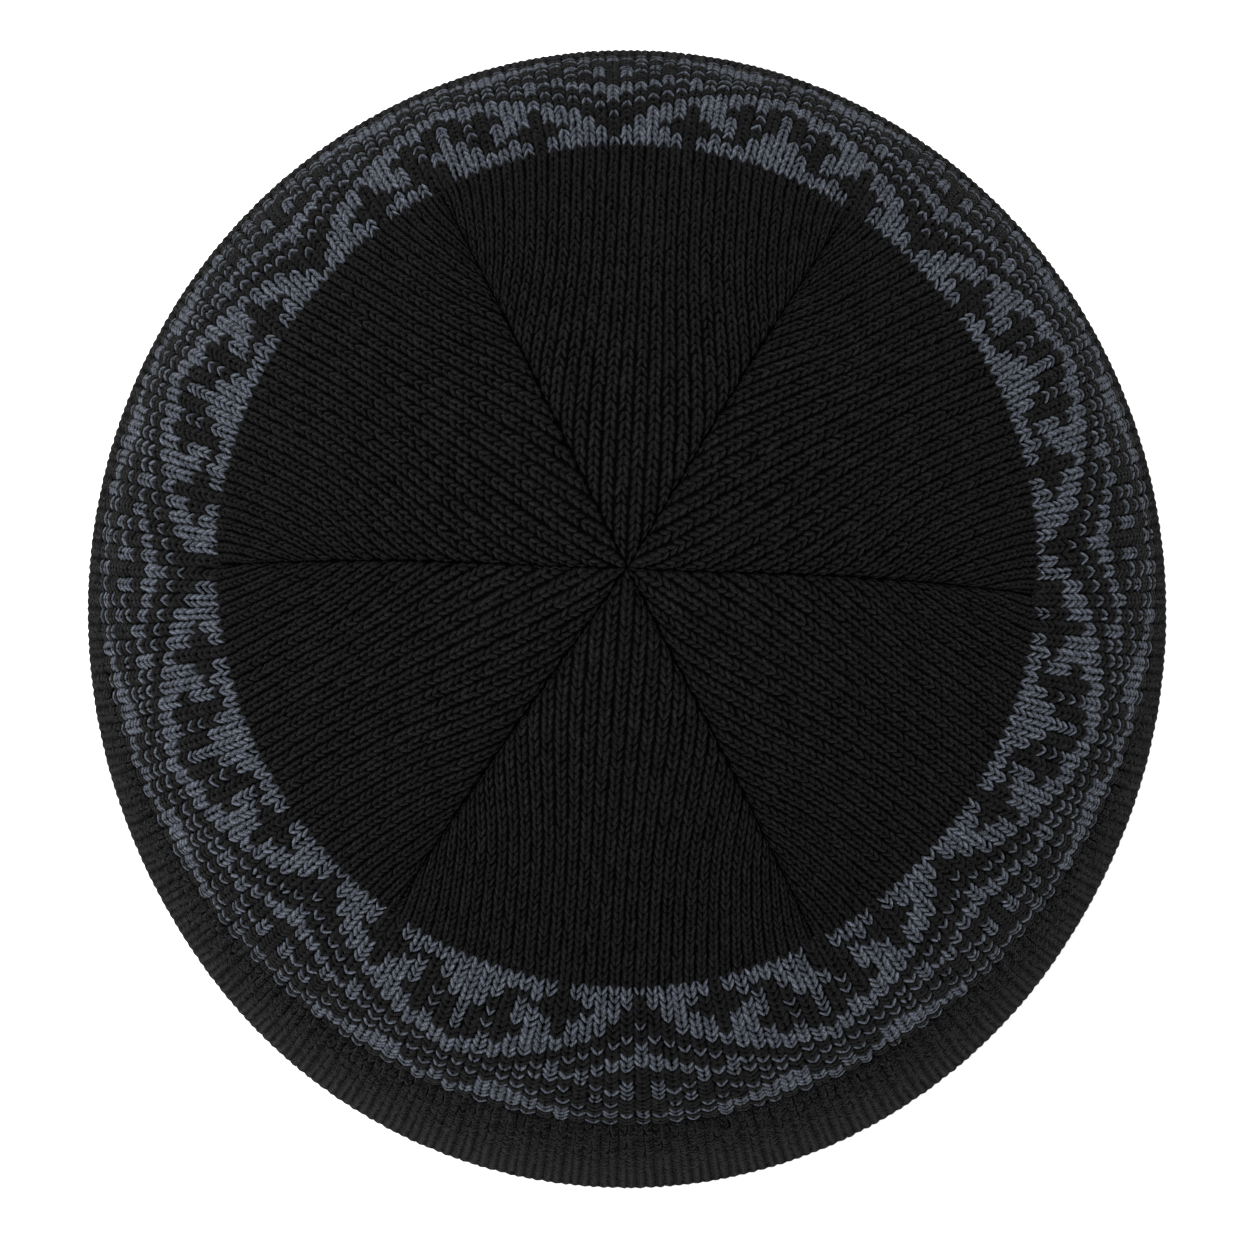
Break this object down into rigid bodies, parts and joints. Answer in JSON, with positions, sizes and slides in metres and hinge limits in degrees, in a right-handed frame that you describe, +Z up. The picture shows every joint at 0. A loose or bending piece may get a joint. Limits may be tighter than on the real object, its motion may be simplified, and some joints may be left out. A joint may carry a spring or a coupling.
{
  "type": "knit beanie",
  "caption": "Close-fitting knit cap: a gored dome crown with sunk seams, a patterned body band and a plain lower band with a turned-under hem.",
  "frame": {"origin": "middle of the rim, on the surface that the hat stands on", "axes": "+Z up through the crown, +Y to the back of the head, +X to the wearer's left"},
  "size_m": [0.188, 0.1956, 0.1207],
  "materials": {
    "black_yarn": "matte fine knit, near black",
    "slate_yarn": "matte fine knit, slate grey on near black"
  },
  "bodies": {
    "root": {"lower_band": "black_yarn", "pattern_band": "slate_yarn", "crown_gore_1": "black_yarn", "crown_gore_2": "black_yarn", "crown_gore_3": "black_yarn", "crown_gore_4": "black_yarn", "crown_gore_5": "black_yarn", "crown_gore_6": "black_yarn"}
  },
  "joints": []
}
